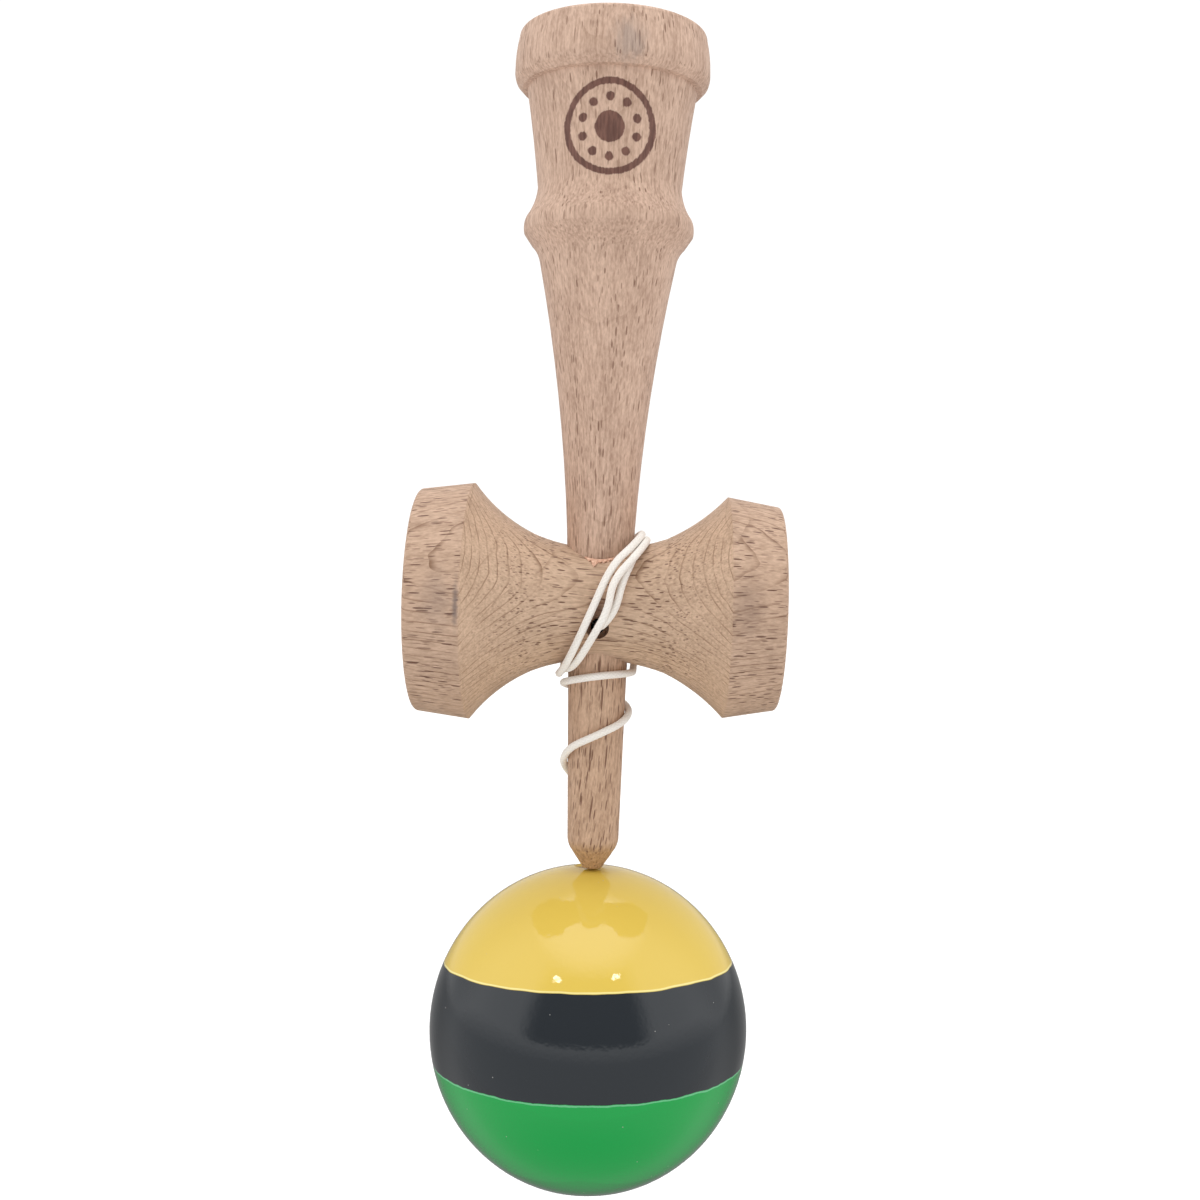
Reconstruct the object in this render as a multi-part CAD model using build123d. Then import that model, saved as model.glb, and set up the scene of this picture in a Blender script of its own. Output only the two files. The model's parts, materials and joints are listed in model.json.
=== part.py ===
"""Kendama: a cup-and-ball skill toy, stored with its string wound round the joint of ken and sarado.

Frame: the ken's turning axis is Z with the base cup up, the sarado's turning axis is X with the big
cup at -X, and the string hole faces -Y.  The origin is where the two turning axes cross.
Lengths are in millimetres.
"""
import math
import os

from build123d import *

# ---- the ball (tama) ----------------------------------------------------------------------------
TAMA_RADIUS = 30.0               # the standard ball is 60 mm across
TAMA_LEAN_BACK = 6.5             # its own axis leans this many degrees towards +Y
TAMA_LEAN_LEFT = 1.5             # and this many towards -X
TAMA_GAP = 0.35                  # air between the ball and the spike's tip
TAMA_STRING_HOLE_RADIUS = 1.75
TAMA_STRING_FLARE_RADIUS = 2.8   # the string hole's countersink, at the ball's surface
SPIKE_HOLE_RADIUS = 10.75        # the big hole that the spike is caught in
SPIKE_HOLE_MOUTH_RADIUS = 12.4
SPIKE_HOLE_DEPTH = 38.0
BEAD_POCKET_RADIUS = 4.4
BEAD_POCKET_DEPTH = 8.4

# ---- the ken ------------------------------------------------------------------------------------
SPIKE_TIP_Z = -49.85
BASE_RIM_Z = 103.2
BASE_DISH_RADIUS = 14.9
BASE_DISH_DEPTH = 7.0
TENON_TOP_Z = 14.0               # the straight taper that the sarado is pushed on to
TENON_TOP_RADIUS = 6.32
TENON_BOTTOM_Z = -15.0
TENON_BOTTOM_RADIUS = 5.42

# ---- the cross-piece (sarado) -------------------------------------------------------------------
WAIST_RADIUS = 10.4
RIM_ROUNDING = 0.8               # on the outer edge of each cup's rim
BIG_RIM_X = -33.6
BIG_RIDGE_RADIUS = 21.95
BIG_DISH_RADIUS = 18.9
BIG_DISH_DEPTH = 9.0
SMALL_RIM_X = 33.1
SMALL_RIDGE_RADIUS = 20.5
SMALL_DISH_RADIUS = 17.2
SMALL_DISH_DEPTH = 8.0
BORE_CLEARANCE = 0.03            # a light push fit on the tenon

# ---- string, knots and bead ---------------------------------------------------------------------
STRING_RADIUS = 0.7
STRING_HOLE_Z = -3.6             # height of the hole through the sarado's wall and the tenon
SARADO_STRING_HOLE_RADIUS = 2.1
KEN_STRING_HOLE_RADIUS = 1.35
KNOT_POCKET_RADIUS = 2.2
KNOT_POCKET_FLOOR_Y = 2.6
KNOT_RADIUS = 1.8
KNOT_HEIGHT = 2.6
BEAD_RADIUS = 3.9
BEAD_LENGTH = 4.8
BEAD_HOLE_RADIUS = 0.8
BEAD_GAP = 0.3                   # air between bead and ball
PIECE_GAP = 0.1                  # air between pieces on the string
ARC_SHARE = 0.45                 # how much of its shorter run each bend of the string takes up

# The string's route from the knot in the tenon to the ball's mouth.  It leaves the sarado's hole,
# goes three times over the crossing from lower left to upper right, comes down the back, goes once
# round the spike under the sarado, winds down the spike and comes round its back to the ball.
STRING_ROUTE = [
    (0.0, 2.7, -3.6), (0.0, -3.0, -3.6), (-0.4, -8.6, -3.2), (-0.1, -12.1, -1.7), (2.5, -12.6, 2.3),
    (7.4, -7.1, 10.3), (7.3, -0.1, 13.1), (5.7, 8.9, 8.9), (0.8, 12.6, -0.8), (-4.7, 8.9, -10.6),
    (-7.4, 0.1, -14.5), (-6.0, -8.7, -9.8), (-1.4, -12.3, 0.5), (3.9, -8.7, 11.1), (8.1, 0.2, 14.9),
    (4.7, 9.1, 10.4), (-0.8, 12.7, 0.3), (-5.7, 9.1, -8.9), (-7.0, 0.3, -12.7), (-3.5, -8.8, -9.9),
    (2.8, -12.8, -1.0), (8.3, -9.4, 9.0), (9.3, -0.4, 13.7), (8.4, 8.8, 9.9), (7.7, 13.1, 0.5),
    (7.1, 9.4, -8.9), (6.7, 3.6, -12.6), (6.5, -3.3, -12.7), (0.1, -7.4, -13.3), (-6.2, -3.8, -14.3),
    (-6.3, 3.6, -15.5), (0.0, 7.2, -16.9), (6.3, 3.6, -18.4), (6.0, -3.4, -20.7), (0.7, -6.9, -23.5),
    (-4.6, -4.9, -27.2), (-6.0, -2.0, -32.2), (-5.6, 2.9, -36.2), (-1.6, 6.2, -39.6), (2.0, 5.9, -43.0),
    (3.1, 5.0, -46.5), (2.9, 3.8, -49.0), (0.0, 3.55, -50.0),
]


def dish_radius(mouth_radius, depth):
    """Radius of the sphere that cuts a dish of this mouth and depth."""
    return (mouth_radius**2 + depth**2) / (2 * depth)


def tenon_radius(z):
    """The ken's radius at height z on the taper inside the sarado."""
    share = (z - TENON_BOTTOM_Z) / (TENON_TOP_Z - TENON_BOTTOM_Z)
    return TENON_BOTTOM_RADIUS + share * (TENON_TOP_RADIUS - TENON_BOTTOM_RADIUS)


def outline_face(stretches, place):
    """A face bounded by stretches of outline: two points make a line, three make an arc."""
    edges = []
    for stretch in stretches:
        points = [place(*point) for point in stretch]
        edges.append(Line(*points) if len(points) == 2 else ThreePointArc(*points))
    return make_face(edges)


def turned_on_z(stretches):
    """A solid turned on Z from an outline given as (radius, height)."""
    return revolve(outline_face(stretches, lambda radius, z: (radius, 0, z)), Axis.Z)


def turned_on_x(stretches):
    """A solid turned on X from an outline given as (x, radius)."""
    return revolve(outline_face(stretches, lambda x, radius: (x, 0, radius)), Axis.X)


def rod(radius, start, end):
    """A straight round rod between two points."""
    start = Vector(*start)
    run = Vector(*end) - start
    return extrude(Plane(origin=start, z_dir=run) * Circle(radius), amount=run.length)


def make_ken():
    """Base cup, neck, collar, handle, tenon and spike in one turned piece."""
    dish_floor = BASE_RIM_Z - BASE_DISH_DEPTH
    sphere = dish_radius(BASE_DISH_RADIUS, BASE_DISH_DEPTH)
    mid = BASE_DISH_RADIUS / 2
    dish_mid = dish_floor + sphere - math.sqrt(sphere**2 - mid**2)
    rim_edge = (16.1, BASE_RIM_Z)
    shoulder = (17.0, 102.3)
    band = (17.7, 96.4)
    band_lip = (17.35, 94.5)
    band_foot = (16.3, 93.4)
    crease = (15.4, 93.2)
    neck = (13.15, 75.8)
    collar_top = (15.2, 70.3)
    collar_edge = (15.45, 67.6)
    collar_foot = (14.1, 65.6)
    handle_top = (12.5, 62.6)
    tenon_top = (TENON_TOP_RADIUS, TENON_TOP_Z)
    tenon_bottom = (TENON_BOTTOM_RADIUS, TENON_BOTTOM_Z)
    spike_end = (4.83, -43.6)
    cone_top = (4.3, -45.9)
    cone_end = (2.0, SPIKE_TIP_Z + 0.4)
    tip_edge = (1.3, SPIKE_TIP_Z)
    body = turned_on_z([
        [(0, dish_floor), (mid, dish_mid), (BASE_DISH_RADIUS, BASE_RIM_Z)],
        [(BASE_DISH_RADIUS, BASE_RIM_Z), rim_edge],
        [rim_edge, (16.75, 102.95), shoulder],
        [shoulder, (17.5, 99.6), band],
        [band, (17.65, 95.4), band_lip],
        [band_lip, band_foot],
        [band_foot, crease],
        [crease, (14.15, 84.7), neck],
        [neck, (13.8, 72.9), collar_top],
        [collar_top, (15.55, 69.0), collar_edge],
        [collar_edge, collar_foot],
        [collar_foot, (13.1, 64.3), handle_top],
        [handle_top, (8.66, 39.5), tenon_top],
        [tenon_top, tenon_bottom],
        [tenon_bottom, spike_end],
        [spike_end, (4.7, -44.9), cone_top],
        [cone_top, cone_end],
        [cone_end, (1.75, SPIKE_TIP_Z + 0.12), tip_edge],
        [tip_edge, (0, SPIKE_TIP_Z)],
        [(0, SPIKE_TIP_Z), (0, dish_floor)],
    ])
    string_hole = rod(KEN_STRING_HOLE_RADIUS, (0, -10, STRING_HOLE_Z), (0, 10, STRING_HOLE_Z))
    knot_pocket = rod(KNOT_POCKET_RADIUS, (0, KNOT_POCKET_FLOOR_Y, STRING_HOLE_Z), (0, 10, STRING_HOLE_Z))
    return body - string_hole - knot_pocket


def cup_outline(side, rim_x, mouth_radius, depth, rim_radius, ridge, flare, knee):
    """Half of the sarado's outline from the middle of a dish to the waist; side is -1 or 1."""
    sphere = dish_radius(mouth_radius, depth)
    mid = mouth_radius / 2
    floor_x = rim_x - side * depth
    mid_x = floor_x + side * (sphere - math.sqrt(sphere**2 - mid**2))
    rim_inner = (rim_x, mouth_radius)
    halfway = RIM_ROUNDING * (1 - math.sqrt(0.5))
    rim_outer = (rim_x, rim_radius - RIM_ROUNDING)
    rim_corner = (rim_x - side * halfway, rim_radius - halfway)
    band_edge = (rim_x - side * RIM_ROUNDING, rim_radius)
    waist = (0, WAIST_RADIUS)
    return [
        [(floor_x, 0), (mid_x, mid), rim_inner],
        [rim_inner, rim_outer],
        [rim_outer, rim_corner, band_edge],
        [band_edge, ridge],
        [ridge, flare, knee],
        [knee, (knee[0] / 2, WAIST_RADIUS + (knee[1] - WAIST_RADIUS) * 0.24), waist],
    ]


def make_sarado():
    """Big cup, waist and small cup in one turned piece, bored for the ken and the string."""
    big = cup_outline(-1, BIG_RIM_X, BIG_DISH_RADIUS, BIG_DISH_DEPTH, rim_radius=20.75,
                      ridge=(-23.6, BIG_RIDGE_RADIUS), flare=(-18.5, 16.65), knee=(-12.4, 12.83))
    small = cup_outline(1, SMALL_RIM_X, SMALL_DISH_RADIUS, SMALL_DISH_DEPTH, rim_radius=18.95,
                        ridge=(23.4, SMALL_RIDGE_RADIUS), flare=(18.0, 15.75), knee=(12.4, 12.5))
    axis_line = [(BIG_RIM_X + BIG_DISH_DEPTH, 0), (SMALL_RIM_X - SMALL_DISH_DEPTH, 0)]
    body = turned_on_x(big + small + [axis_line])
    bore = turned_on_z([
        [(0, TENON_BOTTOM_Z), (tenon_radius(TENON_BOTTOM_Z) + BORE_CLEARANCE, TENON_BOTTOM_Z)],
        [(tenon_radius(TENON_BOTTOM_Z) + BORE_CLEARANCE, TENON_BOTTOM_Z),
         (tenon_radius(TENON_TOP_Z) + BORE_CLEARANCE, TENON_TOP_Z)],
        [(tenon_radius(TENON_TOP_Z) + BORE_CLEARANCE, TENON_TOP_Z), (0, TENON_TOP_Z)],
        [(0, TENON_TOP_Z), (0, TENON_BOTTOM_Z)],
    ])
    string_hole = rod(SARADO_STRING_HOLE_RADIUS, (0, 0, STRING_HOLE_Z), (0, -15, STRING_HOLE_Z))
    return body - bore - string_hole


def tama_place():
    """Where the ball's own frame lies: its axis is its local Z, with the string hole on top."""
    centre = Pos(0, 0, SPIKE_TIP_Z - TAMA_GAP - TAMA_RADIUS)
    return centre * Rot(X=-TAMA_LEAN_BACK) * Rot(Y=-TAMA_LEAN_LEFT)


def make_tama():
    """The ball with its string hole, bead pocket and spike hole, in its own frame."""
    pocket_floor = SPIKE_HOLE_DEPTH - TAMA_RADIUS
    pocket_top = pocket_floor + BEAD_POCKET_DEPTH
    flare = TAMA_STRING_FLARE_RADIUS
    flare_top = math.sqrt(TAMA_RADIUS**2 - flare**2)
    flare_foot = flare_top - (flare - TAMA_STRING_HOLE_RADIUS)
    mouth = SPIKE_HOLE_MOUTH_RADIUS
    mouth_z = -math.sqrt(TAMA_RADIUS**2 - mouth**2)
    bevel_z = mouth_z + (mouth - SPIKE_HOLE_RADIUS) * 1.3
    return turned_on_z([
        [(TAMA_STRING_HOLE_RADIUS, pocket_top), (TAMA_STRING_HOLE_RADIUS, flare_foot)],
        [(TAMA_STRING_HOLE_RADIUS, flare_foot), (flare, flare_top)],
        [(flare, flare_top), (TAMA_RADIUS, 0), (mouth, mouth_z)],
        [(mouth, mouth_z), (SPIKE_HOLE_RADIUS, bevel_z)],
        [(SPIKE_HOLE_RADIUS, bevel_z), (SPIKE_HOLE_RADIUS, pocket_floor)],
        [(SPIKE_HOLE_RADIUS, pocket_floor), (BEAD_POCKET_RADIUS, pocket_floor)],
        [(BEAD_POCKET_RADIUS, pocket_floor), (BEAD_POCKET_RADIUS, pocket_top)],
        [(BEAD_POCKET_RADIUS, pocket_top), (TAMA_STRING_HOLE_RADIUS, pocket_top)],
    ])


def bead_top():
    """Height of the bead's top face in the ball's own frame."""
    return SPIKE_HOLE_DEPTH - TAMA_RADIUS + BEAD_POCKET_DEPTH - BEAD_GAP


def make_bead():
    """A barrel bead, in the ball's own frame, with the string's hole through it."""
    top = bead_top()
    bottom = top - BEAD_LENGTH
    end_radius = BEAD_RADIUS * 0.7
    return turned_on_z([
        [(BEAD_HOLE_RADIUS, top), (end_radius, top)],
        [(end_radius, top), (BEAD_RADIUS, (top + bottom) / 2), (end_radius, bottom)],
        [(end_radius, bottom), (BEAD_HOLE_RADIUS, bottom)],
        [(BEAD_HOLE_RADIUS, bottom), (BEAD_HOLE_RADIUS, top)],
    ])


def make_knot():
    """A tight stopper knot as a plain rounded barrel standing on Z from 0 to its height."""
    face_radius = KNOT_RADIUS * 0.6
    return turned_on_z([
        [(0, 0), (face_radius, 0)],
        [(face_radius, 0), (KNOT_RADIUS, KNOT_HEIGHT / 2), (face_radius, KNOT_HEIGHT)],
        [(face_radius, KNOT_HEIGHT), (0, KNOT_HEIGHT)],
        [(0, KNOT_HEIGHT), (0, 0)],
    ])


def make_wound_string():
    """The string from the tenon's knot to the ball's mouth: straight runs joined by tangent arcs."""
    points = [Vector(*point) for point in STRING_ROUTE]
    radii = []
    for before, here, after in zip(points, points[1:], points[2:]):
        run_in = here - before
        run_out = after - here
        half_turn = math.radians(run_in.get_angle(run_out)) / 2
        radii.append(ARC_SHARE * min(run_in.length, run_out.length) / math.tan(half_turn))
    print("string bend radii, mm:", " ".join(f"{radius:.1f}" for radius in radii))
    path = FilletPolyline(*points, radius=radii)
    section = Plane(origin=path @ 0, z_dir=path % 0) * Circle(STRING_RADIUS)
    tube = sweep(section, path=path)
    expected = math.pi * STRING_RADIUS**2 * path.length
    print(f"wound string: {path.length:.1f} mm long, volume {tube.volume:.1f}, expected {expected:.1f}")
    return tube


def make_parts():
    """Every piece of the kendama by node name."""
    place = tama_place()
    bead_bottom = bead_top() - BEAD_LENGTH
    inner_top = TAMA_RADIUS - STRING_RADIUS - PIECE_GAP / 2
    inner_string = rod(STRING_RADIUS, (0, 0, inner_top), (0, 0, bead_bottom - PIECE_GAP))
    anchor_knot = Pos(0, STRING_ROUTE[0][1], STRING_HOLE_Z) * Rot(X=-90) * make_knot()
    return {
        "ken": make_ken(),
        "sarado": make_sarado(),
        "tama": place * make_tama(),
        "string_wound": make_wound_string(),
        "string_bend": place * Pos(0, 0, TAMA_RADIUS) * Sphere(STRING_RADIUS),
        "string_inner": place * inner_string,
        "bead": place * make_bead(),
        "bead_knot": place * Pos(0, 0, bead_bottom - PIECE_GAP - KNOT_HEIGHT) * make_knot(),
        "anchor_knot": anchor_knot,
    }


def main():
    """Write one STEP file for each piece."""
    os.makedirs("parts", exist_ok=True)
    for name, piece in make_parts().items():
        export_step(piece, f"parts/{name}.step")
    print("ball's mouth:", tama_place() * Pos(0, 0, TAMA_RADIUS))
    print("spike hole's mouth:", tama_place() * Pos(0, 0, -TAMA_RADIUS))


main()
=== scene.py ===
"""The looks of the kendama: a beech ken and sarado, a lacquered tama and the braided string.

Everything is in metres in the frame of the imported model: +Z is the ken's axis with the base cup
up, +X points to the small cup, and the camera looks along +Y.  The materials count in millimetres.
"""
import json
import math

import bpy
from mathutils import Matrix, Vector


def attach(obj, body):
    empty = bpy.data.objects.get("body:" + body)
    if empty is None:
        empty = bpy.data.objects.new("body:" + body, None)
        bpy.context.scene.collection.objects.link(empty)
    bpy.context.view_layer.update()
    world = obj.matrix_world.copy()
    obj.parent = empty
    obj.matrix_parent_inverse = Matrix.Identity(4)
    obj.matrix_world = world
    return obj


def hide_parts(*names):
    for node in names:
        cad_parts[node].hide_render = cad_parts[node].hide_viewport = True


MM = 0.001

# ---- camera -------------------------------------------------------------------------------------
CAMERA_PLACE = Vector((5.32, -246.1, 16.79)) * MM
CAMERA_YAW = 1.20                # degrees, to the left of +Y
CAMERA_PITCH = -3.72
CAMERA_ROLL = 1.50
CAMERA_LENS = 39.66              # for a sensor 36 mm wide

# ---- room: strengths of its light, by the direction it comes from ------------------------------
BACKDROP = 1.08                  # as the camera sees it
SIDE_WALL = 1.38
CEILING = 2.6
FRONT_WALL = 0.36                # behind the camera
FAR_WALL = 0.75                  # behind the kendama
BELOW = 1.06                     # from below, for diffuse light
UNDERFOOT = 0.42                 # from straight below, for reflections
LOW_FAR_SHARE = 0.42             # how much of the low light reflections find at the far wall

# ---- floor and lamps, in metres -----------------------------------------------------------------
FLOOR_HALF_WIDTH = 40.0
FLOOR_HEIGHT = -0.6
LAMP_PLACES = ((-0.238, -0.40, 0.43), (0.228, -0.40, 0.48))
LAMP_WIDTH = 0.06
LAMP_DEPTH = 0.045
LAMP_POWER = 0.16                # watts
LAMP_COLOUR = (1.0, 0.96, 0.86)

# ---- string -------------------------------------------------------------------------------------
STRING_RADIUS = 0.7 * MM
BRAID_STRANDS = 6                # strands of each hand that go round the string
BRAID_SIDES = 24
BRAID_STEP = 0.16 * MM           # distance between rings of the braid's mesh
BRAID_STRAND_LENGTH = 0.9 * MM   # along the string, where one strand is on top
BRAID_RELIEF = 0.07 * MM
STRING_ROUTE_MM = [
    (0.0, 2.7, -3.6), (0.0, -3.0, -3.6), (0.2, -8.4, -3.5), (1.0, -11.4, -3.1), (3.3, -11.7, -0.0),
    (4.3, -10.6, 4.9), (6.2, -8.4, 9.1), (7.5, -0.5, 12.8), (5.3, 9.0, 9.2), (0.9, 12.7, -0.7),
    (-4.3, 9.4, -10.7), (-7.8, -0.0, -13.9), (-5.4, -9.5, -10.5), (-1.2, -12.4, -0.8),
    (2.3, -10.9, 7.8), (6.2, -8.1, 11.4), (8.3, 0.3, 14.0), (4.6, 9.4, 10.6), (-0.8, 12.7, 0.3),
    (-5.5, 9.0, -9.3), (-6.8, 0.3, -12.4), (-4.1, -8.1, -11.1), (-0.5, -12.2, -4.7),
    (1.9, -12.9, -0.1), (2.6, -12.2, 5.2), (7.0, -9.6, 10.0), (9.1, -0.7, 12.8), (7.3, 8.8, 10.8),
    (7.6, 13.1, 0.6), (7.1, 9.4, -8.9), (6.7, 3.6, -12.6), (6.5, -3.3, -12.4), (0.1, -7.4, -12.6),
    (-6.2, -3.8, -14.2), (-6.3, 3.6, -15.6), (0.1, 7.2, -17.4), (6.25, 3.5, -19.2),
    (5.85, -3.6, -21.2), (0.3, -6.8, -23.6), (-4.6, -4.7, -26.2), (-6.15, -0.7, -29.3),
    (-5.3, 3.7, -32.2), (-1.6, 6.4, -36.5), (1.6, 6.6, -41.5), (3.2, 6.6, -45.4), (3.4, 4.8, -47.6),
    (1.6, 3.7, -49.6), (0.0, 3.55, -50.0),
]
STRING_ROUTE = [Vector(point) * MM for point in STRING_ROUTE_MM]
INNER_STRING_TOP = 29.25 * MM    # heights along the ball's axis from its centre
INNER_STRING_BOTTOM = 11.2 * MM
BALL_KNOT_HEIGHT = 9.9 * MM      # the middle of the knot under the bead
KEN_KNOT_PLACE = Vector((0.0, 4.0, -3.6)) * MM
KNOT_POINTS = 90
KNOT_SPREAD = 0.40 * MM          # a third of the knot's radius, measured to the string's middle
KNOT_RISE = 0.68 * MM
KNOT_STRING_RADIUS = 0.58 * MM   # squeezed by the pull on the knot
CORD_PALE = (1.00, 0.97, 0.93, 1)
CORD_GREY = (0.95, 0.90, 0.83, 1)
CORD_CREASE_SHADE = (0.55, 0.50, 0.45, 1)

# ---- sarado -------------------------------------------------------------------------------------
BIG_RIDGE_X = -23.6              # millimetres, where the band under each cup meets the flare
SMALL_RIDGE_X = 23.4
WAIST_RADIUS_MM = 10.45
KEN_RADIUS_MM = 6.28             # where the ken goes into the sarado

# ---- splinter, in millimetres -------------------------------------------------------------------
SPLINTER_STATIONS = 70
SPLINTER_HALF_LENGTH = 2.7
SPLINTER_THICKNESS = 0.34
SPLINTER_UNDERSIDE = 0.01        # how far its lower face stays off the sarado
SPLINTER_WIDTH = 0.62            # how far the lip reaches down the sarado
SPLINTER_LEAST_WIDTH = 0.05      # at its ends
SPLINTER_FADE_LENGTH = 2.8       # from its middle to where the width has run out
SPLINTER_TIP_WIDTH = 1.25        # how much wider it is at its tip
SPLINTER_TIP_PLACE = -0.9
SPLINTER_TIP_SPREAD = 0.42
SPLINTER_WAVES = ((0.14, 9.0), (0.08, 23.0))   # height and radians per millimetre of its edge
SPLINTER_PALE = (0.95, 0.66, 0.50, 1)
SPLINTER_DARK = (0.66, 0.37, 0.25, 1)
SPLINTER_RAY = (0.45, 0.22, 0.14, 1)

# ---- beech --------------------------------------------------------------------------------------
DRIFT_WAVES = (0.05, 0.02)       # waves per millimetre, across and along the grain, as are the next
CLOUD_WAVES = (0.22, 0.04)
FIBRE_WAVES = (2.2, 0.2)
GRIT_WAVES = (3.0, 1.1)
CLOUD_SHARE = 0.25
FIBRE_SHARE = 0.40
GRIT_SHARE = 0.35
RING_WOBBLE_WAVES = (0.12, 0.05)
RING_PATCH_WAVES = (0.3, 0.12)
RAY_PATCH_WAVES = (0.5, 0.12)
STAIN_WAVES = (1.1, 0.4)
LEAST_ROUGHNESS = 0.5
FIBRE_ROUGHNESS = 0.12           # how much rougher the fibres are
FIBRE_RELIEF = 0.4               # how far the fibres rise, as a part of the flecks' depth
FLECK_DEPTH = 0.05               # millimetres

# ---- colours of the beech -----------------------------------------------------------------------
KEN_PALE = (0.745, 0.525, 0.402, 1)
KEN_DARK = (0.43, 0.275, 0.20, 1)
KEN_RAY = (0.22, 0.115, 0.072, 1)
SARADO_PALE = (0.69, 0.488, 0.347, 1)
SARADO_DARK = (0.44, 0.295, 0.20, 1)
SARADO_SMALL_RAY = (0.29, 0.17, 0.115, 1)
SARADO_LARGE_RAY = (0.17, 0.085, 0.055, 1)
RING_LINE = (0.22, 0.115, 0.06, 1)
SCORCH_PALE = (0.17, 0.070, 0.052, 1)
SCORCH_DARK = (0.10, 0.038, 0.030, 1)
SARADO_STAINS_AND_SHADE = [                # place and size in millimetres, colour, strength
    ((-24.1, -21.8, 0.9), (0.8, 5.0, 6.5), (0.17, 0.13, 0.12, 1), 0.75),
    ((-27.5, -20.5, 1.5), (4.5, 6.0, 8.0), (0.28, 0.21, 0.18, 1), 0.3),
    ((26.0, -19.0, 1.6), (4.5, 6.0, 8.0), (0.30, 0.20, 0.15, 1), 0.45),
    # painted shade: a dark patch between the string's strands beside the string hole
    ((-0.2, -10.5, -0.6), (2.0, 2.0, 4.5), (0.17, 0.09, 0.055, 1), 0.9),
    ((1.8, -9.5, -6.8), (2.6, 2.0, 1.0), (0.80, 0.58, 0.44, 1), 0.5),
]

# ---- ball ---------------------------------------------------------------------------------------
TAMA_RADIUS_MM = 30.0
BALL_RADIUS = TAMA_RADIUS_MM * MM
YELLOW_ABOVE = 12.25             # millimetres along the ball's axis from its centre
BLACK_ABOVE = -5.68
EDGE_BLUR = 0.08                 # half the width over which one band turns into the next
EDGE_HIGHLIGHT_OFFSET = 0.2                 # from a band's edge to the painted highlight line along it
SAG_WAVES = 0.16                 # per millimetre, of both edges' slow unevenness
SAG_HEIGHT = 0.7
BLEED_WAVES = 0.5                # of the lower edge's finer unevenness on top of it
BLEED_HEIGHT = 0.4
DUST_SPACING = 3.2
PEEL_WAVES = 1.3
PEEL_SHARE = 0.9                 # of the orange peel's height to the dust's
BAND_THICKNESS = 0.04
DUST_HEIGHT = 0.02
YELLOW = (0.76, 0.545, 0.092, 1)
BLACK = (0.016, 0.021, 0.027, 1)
GREEN = (0.000, 0.365, 0.062, 1)
YELLOW_EDGE_HIGHLIGHT = (0.95, 0.84, 0.34, 1)
GREEN_EDGE_HIGHLIGHT = (0.16, 0.58, 0.28, 1)
DUST = (0.5, 0.5, 0.48, 1)
BARE_PALE = (0.55, 0.37, 0.24, 1)
BARE_DARK = (0.36, 0.22, 0.13, 1)

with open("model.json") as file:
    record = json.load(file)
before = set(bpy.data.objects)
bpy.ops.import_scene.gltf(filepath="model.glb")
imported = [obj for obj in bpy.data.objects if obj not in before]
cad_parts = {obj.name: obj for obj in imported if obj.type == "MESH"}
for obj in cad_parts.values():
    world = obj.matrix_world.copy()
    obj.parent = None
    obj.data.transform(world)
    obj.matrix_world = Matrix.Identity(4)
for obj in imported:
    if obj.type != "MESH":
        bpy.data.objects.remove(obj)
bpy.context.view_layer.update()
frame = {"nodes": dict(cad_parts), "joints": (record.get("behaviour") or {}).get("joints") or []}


# ---- small helpers ------------------------------------------------------------------------------
def add_object(name, data):
    """A new object in the scene that shows this mesh, curve, camera or light."""
    made = bpy.data.objects.new(name, data)
    bpy.context.scene.collection.objects.link(made)
    return made


def aimed(place, target):
    """The matrix of a camera or light that stands at a place and looks at a target."""
    turn = (target - place).to_track_quat("-Z", "Y")
    return Matrix.Translation(place) @ turn.to_matrix().to_4x4()


def ball_axis_and_centre():
    """The ball's own axis, from its spike hole to its string hole, and its centre."""
    spin = next(joint for joint in frame["joints"] if joint["name"] == "tama_spin")
    axis = Vector(spin["axis"])
    return axis, Vector(spin["pos_m"]) - axis * BALL_RADIUS


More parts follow.
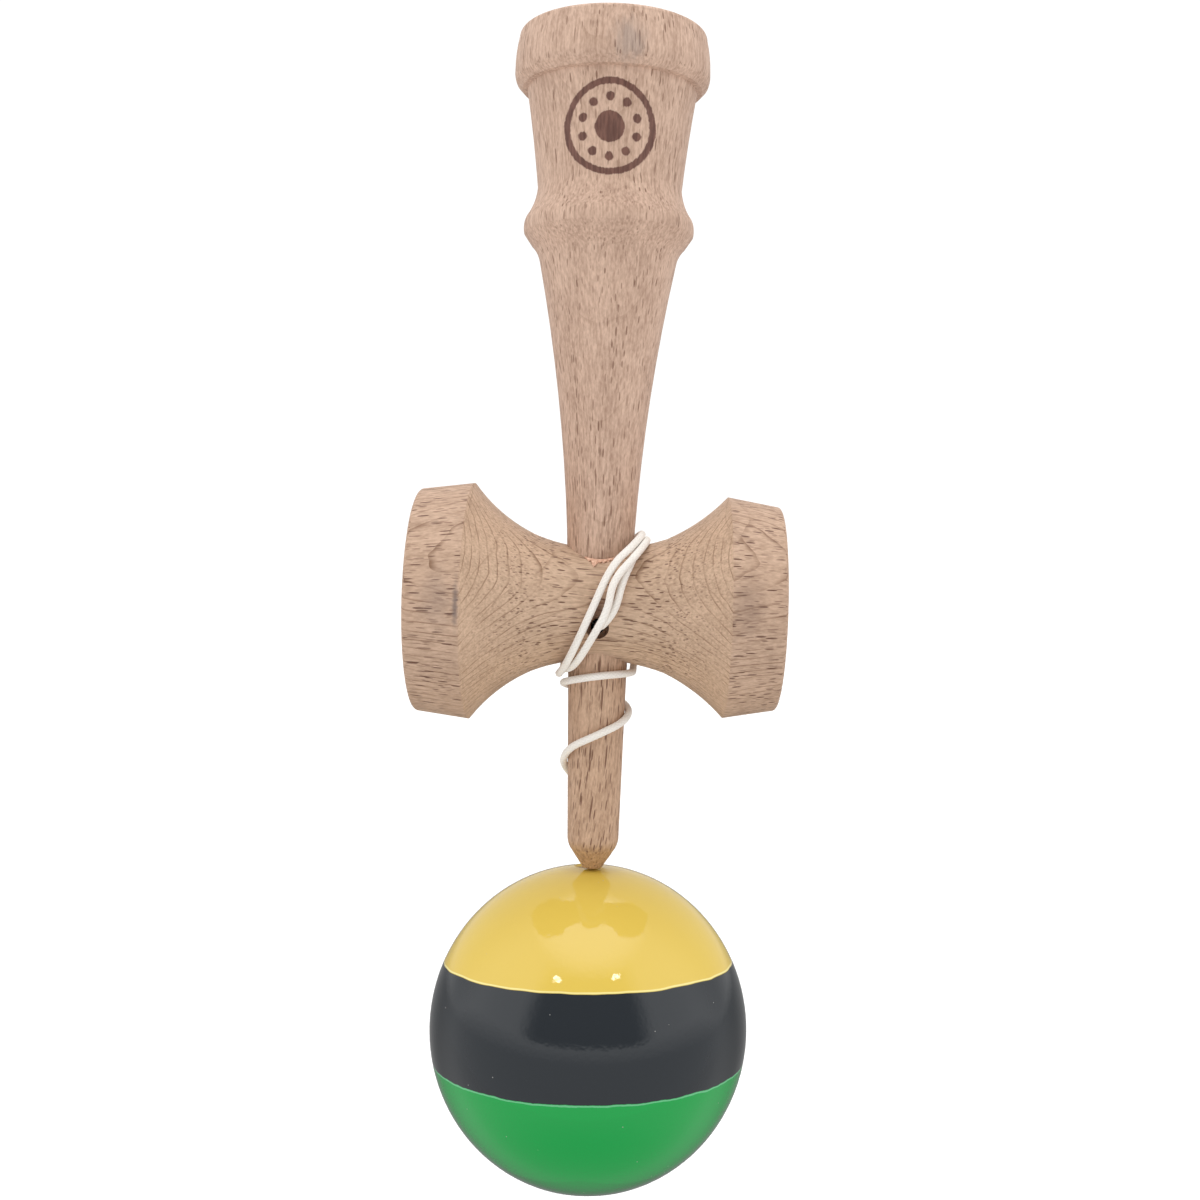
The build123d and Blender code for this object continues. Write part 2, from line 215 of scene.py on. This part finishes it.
class Nodes:
    """A node tree under construction, with short calls for the nodes that it needs."""

    def __init__(self, tree):
        self.tree = tree

    def feed(self, socket, value):
        """Link an output into the socket, or set the socket to a plain value."""
        if isinstance(value, bpy.types.NodeSocket):
            self.tree.links.new(value, socket)
        else:
            socket.default_value = value

    def node(self, kind, inputs=(), **settings):
        """Add a node, given its inputs by name or number."""
        made = self.tree.nodes.new("ShaderNode" + kind)
        for setting, value in settings.items():
            setattr(made, setting, value)
        for socket, value in dict(inputs).items():
            self.feed(made.inputs[socket], value)
        return made

    def math(self, operation, *values):
        """A number worked out from one, two or three others."""
        return self.node("Math", enumerate(values), operation=operation).outputs[0]

    def vector(self, operation, *values):
        """A vector worked out from others, or a number for DOT_PRODUCT, LENGTH and DISTANCE."""
        made = self.node("VectorMath", enumerate(values), operation=operation)
        is_number = operation in ("DOT_PRODUCT", "LENGTH", "DISTANCE")
        return made.outputs["Value" if is_number else "Vector"]

    def noise(self, where, scale, detail=2.0, distortion=0.0):
        """Noise from 0 to 1; the scale is in waves per millimetre along each axis."""
        scaled = self.vector("MULTIPLY", where, scale)
        inputs = {"Vector": scaled, "Scale": 1.0, "Detail": detail, "Distortion": distortion}
        return self.node("TexNoise", inputs).outputs[0]

    def cells(self, where, cell_size):
        """Distance to the nearest of many scattered points, in cells of this size in mm."""
        scaled = self.vector("DIVIDE", where, cell_size)
        return self.node("TexVoronoi", {"Vector": scaled, "Scale": 1.0}).outputs["Distance"]

    def step(self, value, start, end, low=0.0, high=1.0):
        """A smooth step from low to high while the value goes from start to end."""
        inputs = {0: value, 1: start, 2: end, 3: low, 4: high}
        return self.node("MapRange", inputs, interpolation_type="SMOOTHSTEP").outputs[0]

    def mix(self, share, first, second):
        """A colour that goes from the first to the second."""
        made = self.node("Mix", {0: share, 6: first, 7: second}, data_type="RGBA")
        return made.outputs[2]

    def bump(self, height, distance, strength=1.0, below=None):
        """A bumped normal, on top of the one below it if there is one."""
        inputs = {"Height": height, "Distance": distance * MM, "Strength": strength}
        if below is not None:
            inputs["Normal"] = below
        return self.node("Bump", inputs).outputs[0]


class Recipe(Nodes):
    """A material under construction round one Principled shader."""

    def __init__(self, name, **sockets):
        self.material = bpy.data.materials.new(name)
        self.material.use_nodes = True
        super().__init__(self.material.node_tree)
        self.shader = self.tree.nodes["Principled BSDF"]
        for socket, value in sockets.items():
            self.feed(self.shader.inputs[socket.replace("_", " ")], value)

    def place(self):
        """The position on the object, in millimetres."""
        here = self.node("TexCoord").outputs["Object"]
        return self.vector("MULTIPLY", here, (1 / MM, 1 / MM, 1 / MM))


# ---- camera and stage ---------------------------------------------------------------------------
def make_camera():
    """The photograph's viewpoint."""
    camera = add_object("camera", bpy.data.cameras.new("camera"))
    camera.data.lens = CAMERA_LENS
    camera.data.sensor_width = 36.0
    camera.data.clip_start = 0.01
    turn = (Matrix.Rotation(math.radians(CAMERA_YAW), 4, "Z")
            @ Matrix.Rotation(math.radians(90 + CAMERA_PITCH), 4, "X")
            @ Matrix.Rotation(math.radians(CAMERA_ROLL), 4, "Z"))
    camera.matrix_world = Matrix.Translation(CAMERA_PLACE) @ turn
    bpy.context.scene.camera = camera


def make_floor():
    """A plain pale floor well below the kendama."""
    mesh = bpy.data.meshes.new("floor")
    corners = [(aside * FLOOR_HALF_WIDTH, away * FLOOR_HALF_WIDTH, FLOOR_HEIGHT)
               for aside, away in ((-1, -1), (1, -1), (1, 1), (-1, 1))]
    mesh.from_pydata(corners, [], [(0, 1, 2, 3)])
    paint = Recipe("pale_floor", Base_Color=(0.98, 0.98, 0.98, 1), Roughness=0.9)
    mesh.materials.append(paint.material)
    floor = add_object("floor", mesh)
    floor.visible_glossy = False
    floor.visible_diffuse = False


def walls_light(room, across, away, up):
    """The light of the walls round about: dim behind the camera and behind the kendama."""
    beside = room.math("MULTIPLY_ADD", away, 0.97, room.math("ABSOLUTE", across))
    in_front = room.math("MULTIPLY", room.step(beside, 0.30, -0.30), room.step(up, 0.0, 0.16))
    strength = room.step(in_front, 0.0, 1.0, SIDE_WALL, FRONT_WALL)
    return room.math("MINIMUM", strength, room.step(away, -0.1, 0.5, SIDE_WALL, FAR_WALL))


def low_light(room, ray, away, up):
    """The light from below: even for diffuse rays, and in reflections dimmer straight down."""
    shine = room.step(up, -1.0, -0.6, UNDERFOOT, FAR_WALL)
    shine = room.math("MULTIPLY", shine, room.step(away, 0.7, 0.2, LOW_FAR_SHARE, 1.0))
    floor_light = room.node("Mix", {0: ray["Is Diffuse Ray"], 2: shine, 3: BELOW}).outputs[0]
    low = room.node("MapRange", {0: up, 1: -0.10, 2: 0.13, 3: floor_light, 4: SIDE_WALL})
    return low.outputs[0]


def make_room():
    """A white room with a bright ceiling, whose light depends on the kind of ray.

    The camera itself sees plain white, as of a backdrop that is lit on its own.
    """
    world = bpy.data.worlds.new("white_room")
    bpy.context.scene.world = world
    world.use_nodes = True
    room = Nodes(world.node_tree)
    parts = room.node("SeparateXYZ", {0: room.node("TexCoord").outputs["Generated"]}).outputs
    ray = room.node("LightPath").outputs
    strength = walls_light(room, parts["X"], parts["Y"], parts["Z"])
    strength = room.math("MINIMUM", strength, low_light(room, ray, parts["Y"], parts["Z"]))
    overhead = room.step(parts["Z"], 0.70, 0.97)
    strength = room.math("MAXIMUM", strength, room.math("MULTIPLY", overhead, CEILING))
    strength = room.math("MAXIMUM", strength, room.math("MULTIPLY", ray["Is Camera Ray"], BACKDROP))
    background = world.node_tree.nodes["Background"]
    room.feed(background.inputs["Strength"], strength)
    background.inputs["Color"].default_value = (1, 1, 1, 1)


def make_lamps():
    """Two small lamps high in front, which show as two highlights on the ball."""
    for place in LAMP_PLACES:
        light = bpy.data.lights.new("lamp", "AREA")
        light.shape = "RECTANGLE"
        light.size = LAMP_WIDTH
        light.size_y = LAMP_DEPTH
        light.energy = LAMP_POWER
        light.color = LAMP_COLOUR
        add_object("lamp", light).matrix_world = aimed(Vector(place), Vector((0, 0, 0)))


# ---- string -------------------------------------------------------------------------------------
def spline_points(route):
    """The points of the smooth spline that follows a route."""
    curve = bpy.data.curves.new("route", "CURVE")
    curve.dimensions = "3D"
    curve.resolution_u = 24
    spline = curve.splines.new("NURBS")
    spline.points.add(len(route) - 1)
    for point, place in zip(spline.points, route):
        point.co = (*place, 1)
    spline.order_u = 3
    spline.use_endpoint_u = True
    holder = add_object("route", curve)
    mesh = bpy.data.meshes.new_from_object(holder)
    points = [vertex.co.copy() for vertex in mesh.vertices]
    bpy.data.objects.remove(holder)
    return points


def evenly_spaced(points, step):
    """Points along the same line, one step apart."""
    spaced = [points[0]]
    travelled = 0.0
    for start, end in zip(points, points[1:]):
        length = (end - start).length
        while travelled + length >= step * len(spaced):
            spaced.append(start.lerp(end, (step * len(spaced) - travelled) / length))
        travelled += length
    return spaced


def braid_height(angle, along):
    """How far a point of the braid stands out, from 0 in a crease to 1 on a strand."""
    turns = angle / math.tau * BRAID_STRANDS
    rows = along / BRAID_STRAND_LENGTH
    right_hand = turns + rows
    left_hand = turns - rows
    right_on_top = (math.floor(right_hand) + math.floor(left_hand)) % 2 == 0
    across = (right_hand if right_on_top else left_hand) % 1
    return 1 - (2 * across - 1) ** 2


def make_braid(name, points, radius):
    """A braided tube round a line of evenly spaced points."""
    rings = []
    creases = []
    sideways = (points[1] - points[0]).orthogonal().normalized()
    for number, point in enumerate(points):
        ahead = points[min(number + 1, len(points) - 1)] - points[max(number - 1, 0)]
        ahead.normalize()
        sideways = (sideways - ahead * sideways.dot(ahead)).normalized()
        upward = ahead.cross(sideways)
        for side in range(BRAID_SIDES):
            angle = math.tau * side / BRAID_SIDES
            height = braid_height(angle, number * BRAID_STEP)
            reach = radius - BRAID_RELIEF * (1 - height)
            rings.append(point + reach * (math.cos(angle) * sideways + math.sin(angle) * upward))
            creases.append(1 - height)
    faces = [tuple(range(BRAID_SIDES))[::-1]]
    for ring in range(len(points) - 1):
        for side in range(BRAID_SIDES):
            here = ring * BRAID_SIDES
            next_side = (side + 1) % BRAID_SIDES
            faces.append((here + side, here + next_side,
                          here + BRAID_SIDES + next_side, here + BRAID_SIDES + side))
    faces.append(tuple(range((len(points) - 1) * BRAID_SIDES, len(points) * BRAID_SIDES)))
    mesh = bpy.data.meshes.new(name)
    mesh.from_pydata(rings, [], faces)
    # how deep each point lies in a crease, which the cord's colour uses for painted shade
    mesh.attributes.new("crease", "FLOAT", "POINT").data.foreach_set("value", creases)
    mesh.shade_smooth()
    return add_object(name, mesh)


def make_string(cord):
    """The wound string."""
    points = evenly_spaced(spline_points(STRING_ROUTE), BRAID_STEP)
    string = make_braid("string", points, STRING_RADIUS)
    string.data.materials.append(cord)
    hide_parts("string_wound")
    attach(string, "ken")


def knot_line(centre, axis):
    """Points once round a tight overhand knot, drawn as a closed loop that stands on an axis."""
    turn = Vector((0, 0, 1)).rotation_difference(axis).to_matrix()
    line = []
    for number in range(KNOT_POINTS + 1):
        angle = math.tau * number / KNOT_POINTS
        across = Vector((math.sin(angle) + 2 * math.sin(2 * angle),
                         math.cos(angle) - 2 * math.cos(2 * angle), 0))
        upward = Vector((0, 0, -KNOT_RISE * math.sin(3 * angle)))
        line.append(centre + turn @ (across * KNOT_SPREAD + upward))
    return line


def make_inner_pieces(cord):
    """The string's bend at the ball's mouth, its stretch inside the ball and its two knots."""
    axis, centre = ball_axis_and_centre()
    bend_half = 0.55 * MM
    mouth = centre + axis * BALL_RADIUS
    bend = [mouth - axis * bend_half, mouth + axis * bend_half]
    inner = [centre + axis * INNER_STRING_TOP, centre + axis * INNER_STRING_BOTTOM]
    ball_knot = knot_line(centre + axis * BALL_KNOT_HEIGHT, axis)
    ken_knot = knot_line(KEN_KNOT_PLACE, Vector((0, 1, 0)))
    for name, line, radius, node, body in (
            ("string_at_mouth", bend, STRING_RADIUS, "string_bend", "string_bend"),
            ("string_in_ball", inner, STRING_RADIUS, "string_inner", "bead"),
            ("knot_in_ball", ball_knot, KNOT_STRING_RADIUS, "bead_knot", "bead"),
            ("knot_in_ken", ken_knot, KNOT_STRING_RADIUS, "anchor_knot", "ken")):
        piece = make_braid(name, evenly_spaced(line, BRAID_STEP), radius)
        piece.data.materials.append(cord)
        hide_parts(node)
        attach(piece, body)


# ---- splinter -----------------------------------------------------------------------------------
def splinter_width(across):
    """How far the torn lip reaches down the sarado, in millimetres, at a place across it."""
    off_tip = (across - SPLINTER_TIP_PLACE) / SPLINTER_TIP_SPREAD
    tip = SPLINTER_TIP_WIDTH * math.exp(-off_tip ** 2)
    ragged = sum(height * math.sin(rate * across) for height, rate in SPLINTER_WAVES)
    fade = max(0.0, 1 - (across / SPLINTER_FADE_LENGTH) ** 4)
    return SPLINTER_LEAST_WIDTH + (SPLINTER_WIDTH + tip + ragged) * fade


def make_splinter():
    """A lip of wood fibres torn up where the ken was pushed into the sarado."""
    corners = []
    for number in range(SPLINTER_STATIONS + 1):
        across = SPLINTER_HALF_LENGTH * (2 * number / SPLINTER_STATIONS - 1)
        depth = math.sqrt(KEN_RADIUS_MM ** 2 - across ** 2)
        start = math.acos(depth / WAIST_RADIUS_MM)
        width = splinter_width(across)
        curl = SPLINTER_THICKNESS * (0.5 + 0.5 * math.sin(7.0 * across))
        for down, lift in ((0.0, SPLINTER_THICKNESS), (width, curl),
                           (width * 0.8, SPLINTER_UNDERSIDE), (0.0, SPLINTER_UNDERSIDE)):
            angle = start - down / WAIST_RADIUS_MM
            radius = WAIST_RADIUS_MM + lift
            corners.append(Vector((across, -radius * math.cos(angle), radius * math.sin(angle))) * MM)
    last = SPLINTER_STATIONS * 4
    faces = [(3, 2, 1, 0), tuple(range(last, last + 4))]
    for first in range(0, last, 4):
        for side in range(4):
            after = (side + 1) % 4
            faces.append((first + side, first + after, first + 4 + after, first + 4 + side))
    mesh = bpy.data.meshes.new("splinter")
    mesh.from_pydata(corners, [], faces)
    wood = Beech("fresh_beech", grain=0, lean=(0.0, 1.0, 1.0))
    wood.tone(SPLINTER_PALE, SPLINTER_DARK)
    wood.rays((3.0, 0.3, 0.25), 0.30, SPLINTER_RAY, 0.6)
    mesh.materials.append(wood.surface())
    splinter = add_object("splinter", mesh)
    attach(splinter, "ken")


# ---- materials ----------------------------------------------------------------------------------
def string_material():
    """Cream braided cord, with painted shade darkening it in the creases of the braid."""
    cord = Recipe("cream_cord", Roughness=0.75, Sheen_Weight=0.3, Specular_IOR_Level=0.3)
    place = cord.place()
    crease = cord.node("Attribute", attribute_name="crease").outputs["Fac"]
    fibres = cord.noise(place, (9, 9, 9), detail=3)
    dirt = cord.noise(place, (0.2, 0.2, 0.2))
    colour = cord.mix(dirt, CORD_PALE, CORD_GREY)
    # painted shade: the braid's creases darkened by their depth
    colour = cord.mix(cord.math("MULTIPLY", crease, 0.35), colour, CORD_CREASE_SHADE)
    cord.feed(cord.shader.inputs["Base Color"], colour)
    cord.feed(cord.shader.inputs["Normal"], cord.bump(fibres, 0.02))
    return cord.material


class Beech(Recipe):
    """Beech, with growth rings, short dark rays and fine pores along its grain."""

    def __init__(self, name, grain, lean):
        """grain is the number of the axis that the grain follows, and lean how it wanders off it."""
        super().__init__(name, Specular_IOR_Level=0.3)
        self.grain = grain
        self.flecks = 0.0
        self.here = self.place()
        drift = self.math("SUBTRACT", self.noise(self.here, self.along_grain(*DRIFT_WAVES)), 0.5)
        shift = self.node("VectorMath", {0: lean, "Scale": drift}, operation="SCALE").outputs[0]
        self.wavy = self.vector("ADD", self.here, shift)

    def slant_low_grain(self):
        """Let the upright grain lean to +X more and more below the crossing."""
        bend = 0.0017                # millimetres aside for each square millimetre of depth
        below = self.math("MINIMUM", self.node("SeparateXYZ", {0: self.here}).outputs["Z"], 0.0)
        aside = self.math("MULTIPLY", self.math("MULTIPLY", below, below), bend)
        self.wavy = self.vector("ADD", self.wavy, self.node("CombineXYZ", {"X": aside}).outputs[0])

    def along_grain(self, across, along):
        """One number for each axis: along for the grain's axis and across for the other two."""
        return tuple(along if axis == self.grain else across for axis in range(3))

    def tone(self, pale, dark):
        """The ground colour, cloudy in long soft streaks and with fine fibres."""
        clouds = self.step(self.noise(self.wavy, self.along_grain(*CLOUD_WAVES)), 0.3, 0.7)
        fibres = self.noise(self.wavy, self.along_grain(*FIBRE_WAVES), detail=3)
        fibres = self.step(fibres, 0.35, 0.65)
        grit = self.noise(self.here, self.along_grain(*GRIT_WAVES), detail=2)
        grit = self.step(grit, 0.3, 0.7)
        share = self.math("MULTIPLY", fibres, FIBRE_SHARE)
        share = self.math("MULTIPLY_ADD", clouds, CLOUD_SHARE, share)
        share = self.math("MULTIPLY_ADD", grit, GRIT_SHARE, share)
        self.fibres = fibres
        self.colour = self.mix(share, pale, dark)

    def rings(self, pith, pith_axis, gap, line, strength, wobble):
        """Thin dark lines where the growth rings, which stand round the pith's line, come out."""
        off_line = self.vector("CROSS_PRODUCT", self.vector("SUBTRACT", self.wavy, pith), pith_axis)
        uneven = self.noise(self.here, self.along_grain(*RING_WOBBLE_WAVES))
        radius = self.math("MULTIPLY_ADD", uneven, wobble, self.vector("LENGTH", off_line))
        across = self.math("FRACT", self.math("DIVIDE", radius, gap))
        late = self.step(across, 1 - line, 1.0)
        patches = self.noise(self.here, self.along_grain(*RING_PATCH_WAVES))
        patchy = self.step(patches, 0.35, 0.65, 0.25, 1.0)
        share = self.math("MULTIPLY", self.math("MULTIPLY", late, patchy), strength)
        self.colour = self.mix(share, self.colour, RING_LINE)

    def side_grain(self):
        """1 where the surface runs along the grain, falling to 0.15 where it cuts across the grain."""
        normal = self.node("TexCoord").outputs["Normal"]
        across = self.math("ABSOLUTE", self.vector("DOT_PRODUCT", normal, self.along_grain(0.0, 1.0)))
        return self.step(across, 0.80, 0.35, 0.15, 1.0)

    def rays(self, cell_size, reach, colour, strength):
        """Short dark flecks that lie along the grain."""
        flecks = self.step(self.cells(self.wavy, cell_size), reach, reach * 0.75)
        patches = self.noise(self.wavy, self.along_grain(*RAY_PATCH_WAVES))
        patchy = self.step(patches, 0.35, 0.55, 0.45, 1.0)
        flecks = self.math("MULTIPLY", self.math("MULTIPLY", flecks, patchy), self.side_grain())
        flecks = self.math("MULTIPLY", flecks, strength)
        self.colour = self.mix(flecks, self.colour, colour)
        self.flecks = self.math("MAXIMUM", self.flecks, flecks)

    def tint(self, share, colour):
        """Multiply the colour by another, as a glaze over it does."""
        made = self.node("Mix", {0: share, 6: self.colour, 7: colour}, data_type="RGBA",
                         blend_type="MULTIPLY")
        self.colour = made.outputs[2]

    def stain_and_shade(self, where, size, colour, strength):
        """A soft patch of another colour round a point, broken up by the fibres; used for stains and
        for painted shade.
        """
        from_where = self.vector("SUBTRACT", self.here, where)
        away = self.vector("LENGTH", self.vector("DIVIDE", from_where, size))
        ragged = self.noise(self.here, self.along_grain(*STAIN_WAVES))
        rough = self.math("MULTIPLY_ADD", ragged, 0.8, away)
        share = self.step(rough, 1.35, 0.5, 0.0, strength)
        self.colour = self.mix(share, self.colour, colour)

    def surface(self):
        """Wire up the colour, the sheen and the relief of fibres and flecks."""
        roughness = self.math("MULTIPLY_ADD", self.fibres, FIBRE_ROUGHNESS, LEAST_ROUGHNESS)
        raised = self.math("MULTIPLY", self.fibres, FIBRE_RELIEF)
        relief = self.math("SUBTRACT", raised, self.flecks)
        self.feed(self.shader.inputs["Base Color"], self.colour)
        self.feed(self.shader.inputs["Roughness"], roughness)
        self.feed(self.shader.inputs["Normal"], self.bump(relief, FLECK_DEPTH))
        return self.material


def burn_mark(wood, centre_height):
    """A plain burned ring with a circle of dots and a disc in it, on the front of the neck."""
    ring_radius = 7.4
    ring_half_width = 0.55
    dot_circle = 4.9
    dot_count = 10
    dot_radius = 0.75
    disc_radius = 2.6
    edge_blur = 0.12
    raggedness = 0.5
    cover = 0.92
    parts = wood.node("SeparateXYZ", {0: wood.here}).outputs
    upward = wood.math("SUBTRACT", parts["Z"], centre_height)
    ragged = wood.math("SUBTRACT", wood.noise(wood.here, (2.2, 2.2, 1.2), detail=3), 0.5)
    flat = wood.node("CombineXYZ", {"X": parts["X"], "Y": upward}).outputs[0]
    radius = wood.vector("LENGTH", flat)
    ring = wood.math("ABSOLUTE", wood.math("SUBTRACT", radius, ring_radius))
    ring = wood.math("SUBTRACT", ring, ring_half_width)
    turn = wood.math("DIVIDE", wood.math("ARCTAN2", upward, parts["X"]), math.tau / dot_count)
    aside = wood.math("SUBTRACT", wood.math("FRACT", wood.math("ADD", turn, dot_count)), 0.5)
    aside = wood.math("MULTIPLY", aside, math.tau / dot_count * dot_circle)
    inward = wood.math("SUBTRACT", radius, dot_circle)
    dot = wood.vector("LENGTH", wood.node("CombineXYZ", {"X": aside, "Y": inward}).outputs[0])
    dot = wood.math("SUBTRACT", dot, dot_radius)
    disc = wood.math("SUBTRACT", radius, disc_radius)
    nearest = wood.math("MINIMUM", wood.math("MINIMUM", ring, dot), disc)
    nearest = wood.math("MULTIPLY_ADD", ragged, raggedness, nearest)
    in_front = wood.math("LESS_THAN", parts["Y"], 0.0)
    share = wood.math("MULTIPLY", wood.step(nearest, edge_blur, -edge_blur), in_front)
    scorch = wood.mix(wood.fibres, SCORCH_PALE, SCORCH_DARK)
    wood.colour = wood.mix(wood.math("MULTIPLY", share, cover), wood.colour, scorch)
    wood.flecks = wood.math("MAXIMUM", wood.flecks, share)


def ken_material():
    """The ken: pale pinkish beech, with the burned mark, darker towards the spike."""
    wood = Beech("ken_beech", grain=2, lean=(2.0, 2.0, 0.0))
    wood.slant_low_grain()
    wood.tone(KEN_PALE, KEN_DARK)
    height = wood.node("SeparateXYZ", {0: wood.here}).outputs["Z"]
    wood.tint(wood.step(height, 20.0, -20.0), (0.935, 0.90, 0.81, 1))
    wood.tint(wood.step(height, -43.5, -46.0), (0.92, 0.88, 0.76, 1))
    wood.rings(pith=(3.0, 60.0, 40.0), pith_axis=(0.05, 0.20, 0.97), gap=5.5, line=0.06,
               strength=0.22, wobble=2.0)
    worn = wood.step(height, 70.0, -25.0)
    for cell_size, reach, strength in (((0.42, 0.6, 3.6), 0.30, wood.math("MULTIPLY", worn, 0.6)),
                                       ((0.60, 0.7, 5.5), 0.25, wood.step(worn, 0.0, 1.0, 0.55, 1.0)),
                                       ((1.00, 0.8, 16.0), 0.18, wood.step(worn, 0.0, 1.0, 0.8, 1.0))):
        wood.rays(cell_size, reach, KEN_RAY, strength)
    wood.stain_and_shade((3.2, -17.5, 96.9), (4.5, 6.0, 5.5), (0.30, 0.25, 0.23, 1), 0.5)
    burn_mark(wood, 83.4)
    return wood.surface()


def sarado_material():
    """The sarado: tan beech with strong growth-ring lines, a few grey stains and a patch of painted
    shade beside the string hole.
    """
    wood = Beech("sarado_beech", grain=0, lean=(0.0, 3.0, 3.0))
    wood.tone(SARADO_PALE, SARADO_DARK)
    wood.rings(pith=(0.0, -72.0, 40.0), pith_axis=(1.0, 0.02, 0.03), gap=1.3, line=0.20,
               strength=0.85, wobble=2.0)
    wood.rings(pith=(-24.0, 22.0, -40.0), pith_axis=(0.99, 0.0, 0.10), gap=5.6, line=0.06,
               strength=0.4, wobble=2.0)
    wood.rays((6.0, 0.5, 0.38), 0.30, SARADO_SMALL_RAY, 0.65)
    wood.rays((14.0, 0.7, 0.55), 0.27, SARADO_LARGE_RAY, 1.0)
    along = wood.node("SeparateXYZ", {0: wood.here}).outputs["X"]
    wood.tint(wood.step(along, BIG_RIDGE_X + 0.3, BIG_RIDGE_X - 0.2), (0.96, 0.94, 0.96, 1))
    wood.tint(wood.step(along, SMALL_RIDGE_X - 0.3, SMALL_RIDGE_X + 0.2), (0.95, 0.93, 0.95, 1))
    # stains, and painted shade between the strands by the string hole
    for where, size, colour, strength in SARADO_STAINS_AND_SHADE:
        wood.stain_and_shade(where, size, colour, strength)
    return wood.surface()


def band_colours(paint, place, height):
    """The bands' colour, with painted highlight lines along their slightly uneven edges, and their
    thickness.
    """
    bleed = paint.math("SUBTRACT", paint.noise(place, (BLEED_WAVES,) * 3, detail=3), 0.5)
    lower_height = paint.math("MULTIPLY_ADD", bleed, BLEED_HEIGHT, height)
    above_green = paint.step(lower_height, BLACK_ABOVE - EDGE_BLUR, BLACK_ABOVE + EDGE_BLUR)
    above_black = paint.step(height, YELLOW_ABOVE - EDGE_BLUR, YELLOW_ABOVE + EDGE_BLUR)
    colour = paint.mix(above_green, GREEN, BLACK)
    colour = paint.mix(above_black, colour, YELLOW)
    # painted highlights: pale lines along the bands' edges, standing in for the highlight on the
    # paint's ridge
    for line, value, light in ((BLACK_ABOVE - EDGE_HIGHLIGHT_OFFSET, lower_height, GREEN_EDGE_HIGHLIGHT),
                               (YELLOW_ABOVE + EDGE_HIGHLIGHT_OFFSET, height, YELLOW_EDGE_HIGHLIGHT)):
        off_line = paint.math("ABSOLUTE", paint.math("SUBTRACT", value, line))
        colour = paint.mix(paint.step(off_line, 0.20, 0.08, 0.0, 0.85), colour, light)
    return colour, paint.math("ADD", above_green, above_black)


def lacquer_material(centre, axis):
    """Three bands of thick glossy lacquer on the ball, and bare wood inside its holes."""
    paint = Recipe("tama_lacquer", Coat_Weight=1.0, Coat_Roughness=0.05, Roughness=0.5,
                   Specular_IOR_Level=0.0)
    place = paint.place()
    from_centre = paint.vector("SUBTRACT", place, centre)
    sag = paint.math("SUBTRACT", paint.noise(place, (SAG_WAVES,) * 3, detail=1), 0.5)
    along = paint.vector("DOT_PRODUCT", from_centre, axis)
    height = paint.math("MULTIPLY_ADD", sag, SAG_HEIGHT, along)
    colour, thickness = band_colours(paint, place, height)
    dust = paint.step(paint.cells(place, (DUST_SPACING,) * 3), 0.045, 0.02)
    colour = paint.mix(paint.math("MULTIPLY", dust, 0.6), colour, DUST)
    off_centre = paint.vector("LENGTH", from_centre)
    inside = paint.step(off_centre, TAMA_RADIUS_MM - 0.25, TAMA_RADIUS_MM - 0.7)
    fibres = paint.noise(place, (2.5, 2.5, 0.3), detail=4)
    colour = paint.mix(inside, colour, paint.mix(fibres, BARE_PALE, BARE_DARK))
    paint.feed(paint.shader.inputs["Base Color"], colour)
    peel = paint.math("MULTIPLY", paint.noise(place, (PEEL_WAVES,) * 3, detail=1), PEEL_SHARE)
    ridge = paint.bump(thickness, BAND_THICKNESS)
    normal = paint.bump(paint.math("ADD", peel, dust), DUST_HEIGHT, below=ridge)
    paint.feed(paint.shader.inputs["Normal"], normal)
    paint.feed(paint.shader.inputs["Coat Normal"], normal)
    return paint.material


def bead_material():
    """Milky plastic, slightly scuffed."""
    plastic = Recipe("bead_plastic", Roughness=0.35)
    place = plastic.place()
    scuffs = plastic.noise(place, (1.5, 1.5, 6.0), detail=4)
    colour = plastic.mix(scuffs, (0.80, 0.78, 0.72, 1), (0.68, 0.66, 0.60, 1))
    plastic.feed(plastic.shader.inputs["Base Color"], colour)
    plastic.feed(plastic.shader.inputs["Normal"], plastic.bump(scuffs, 0.02))
    return plastic.material


def paint_nodes():
    """Give each CAD node that shows its material."""
    axis, centre = ball_axis_and_centre()
    materials = {
        "ken": ken_material(),
        "sarado": sarado_material(),
        "tama": lacquer_material(centre / MM, axis),
        "bead": bead_material(),
    }
    for name, material in materials.items():
        for slot in frame["nodes"][name].material_slots:
            slot.material = material


def main():
    """Build the scene."""
    make_camera()
    cord = string_material()
    make_string(cord)
    make_inner_pieces(cord)
    make_splinter()
    paint_nodes()
    make_floor()
    make_room()
    make_lamps()
    bpy.context.scene.view_settings.view_transform = "Standard"


main()
